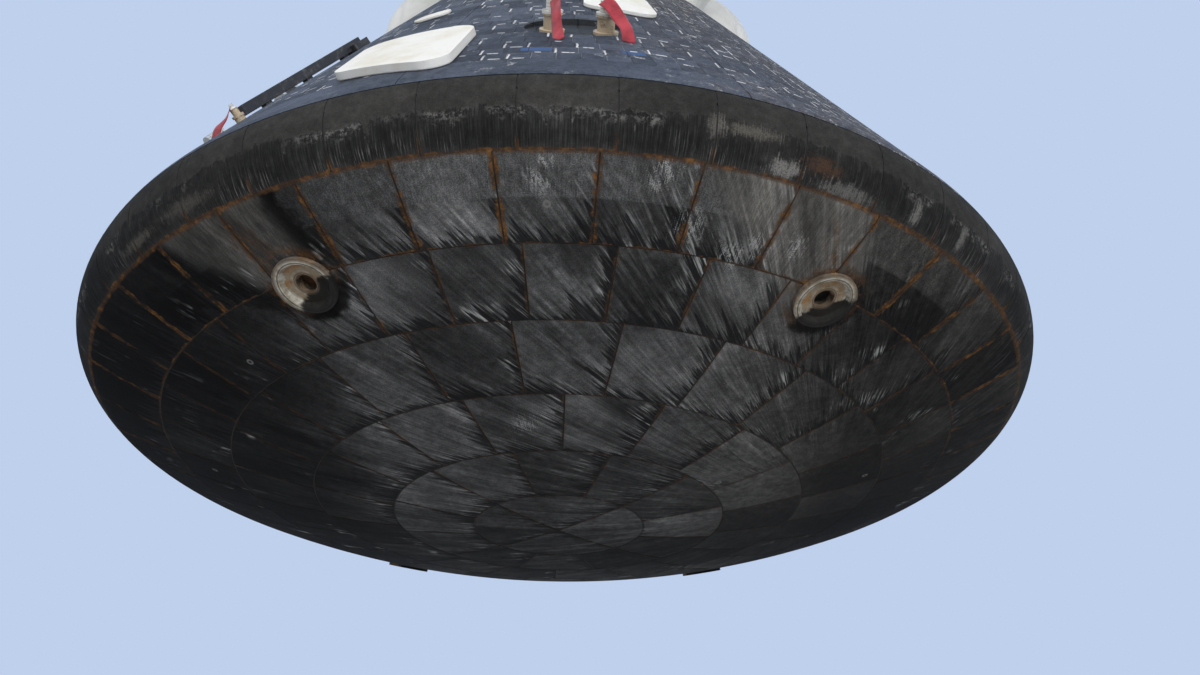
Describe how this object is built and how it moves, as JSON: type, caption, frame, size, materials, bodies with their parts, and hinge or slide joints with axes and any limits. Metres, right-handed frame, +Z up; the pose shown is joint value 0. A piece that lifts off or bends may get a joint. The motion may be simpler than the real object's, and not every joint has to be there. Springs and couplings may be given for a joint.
{
  "type": "recovered crew capsule with a blunt heat shield",
  "caption": "Blunt-cone crew capsule with a blocked ablative heat shield, hollow cabin, opening side and top hatches, docking tunnel and inflated uprighting bags.",
  "frame": {"origin": "lowest point of the heat shield, on the capsule's axis", "axes": "+Z up along the capsule's axis, -Y towards the side with the pair of plugged thrusters that the picture shows"},
  "size_m": [5.0296, 5.0296, 4.3807],
  "materials": {
    "ablator": "charred, matt",
    "shoulder_ablator": "charred, matt",
    "wall_tiles": "coated, scorched",
    "bag_fabric": "coated cloth",
    "window_glass": "clear",
    "cover_foam": "matt",
    "plug_plastic": "matt",
    "streamer_cloth": "woven",
    "pad_ceramic": "scorched",
    "nozzle_metal": "heat tinted",
    "dark_metal": "satin",
    "seat_cloth": "woven",
    "bay_white": "matt",
    "rim_metal": "matt, scorched",
    "bare_metal": "satin"
  },
  "bodies": {
    "root": {"ablator_centre": "ablator", "ablator_ring_2": "ablator", "ablator_ring_3": "ablator", "ablator_ring_4": "ablator", "ablator_ring_5": "ablator", "ablator_ring_6": "ablator", "ablator_shoulder": "shoulder_ablator", "bag_canisters": "bay_white", "cabin_floor": "bare_metal", "compression_pads": "pad_ceramic", "crew_seats": "seat_cloth", "docking_ring": "bare_metal", "docking_tunnel": "bay_white", "forward_bulkhead": "bare_metal", "forward_gussets": "bare_metal", "hatch_hinge_ears": "bare_metal", "hatch_side_rail": "dark_metal", "heat_shield_carrier": "bare_metal", "instrument_console": "dark_metal", "nozzle_plugs": "plug_plastic", "parachute_mortars": "bay_white", "plug_streamers": "streamer_cloth", "rim_ring": "rim_metal", "thruster_nozzles": "nozzle_metal", "top_hatch_hinge": "bare_metal", "upper_covers": "cover_foam", "uprighting_bag_1": "bag_fabric", "uprighting_bag_2": "bag_fabric", "uprighting_bag_3": "bag_fabric", "uprighting_bag_4": "bag_fabric", "uprighting_bag_5": "bag_fabric", "vent_covers": "cover_foam", "wall_panel_01": "wall_tiles", "wall_panel_02": "wall_tiles", "wall_panel_03": "wall_tiles", "wall_panel_04": "wall_tiles", "wall_panel_05": "wall_tiles", "wall_panel_06": "wall_tiles", "wall_panel_07": "wall_tiles", "wall_panel_08": "wall_tiles", "wall_panel_09": "wall_tiles", "wall_panel_10": "wall_tiles", "wall_panel_11": "wall_tiles", "wall_panel_12": "wall_tiles", "window_covers": "cover_foam", "window_panes": "window_glass"},
    "side_hatch_door": {"side_hatch": "wall_tiles", "hatch_window": "window_glass", "hatch_hinge_arms": "bare_metal", "hatch_handle": "bare_metal"},
    "top_hatch_door": {"top_hatch": "bare_metal"}
  },
  "joints": [
    {"name": "side_hatch_hinge", "type": "hinge", "parent": "root", "child": "side_hatch_door", "pos_m": [-1.58772, -1.33223, 1.653], "axis": [0.433, 0.25, 0.866], "range_deg": [0, 110]},
    {"name": "top_hatch_hinge", "type": "hinge", "parent": "root", "child": "top_hatch_door", "pos_m": [0, 0.53, 2.36452], "axis": [1, 0, 0], "range_deg": [0, 95]}
  ]
}
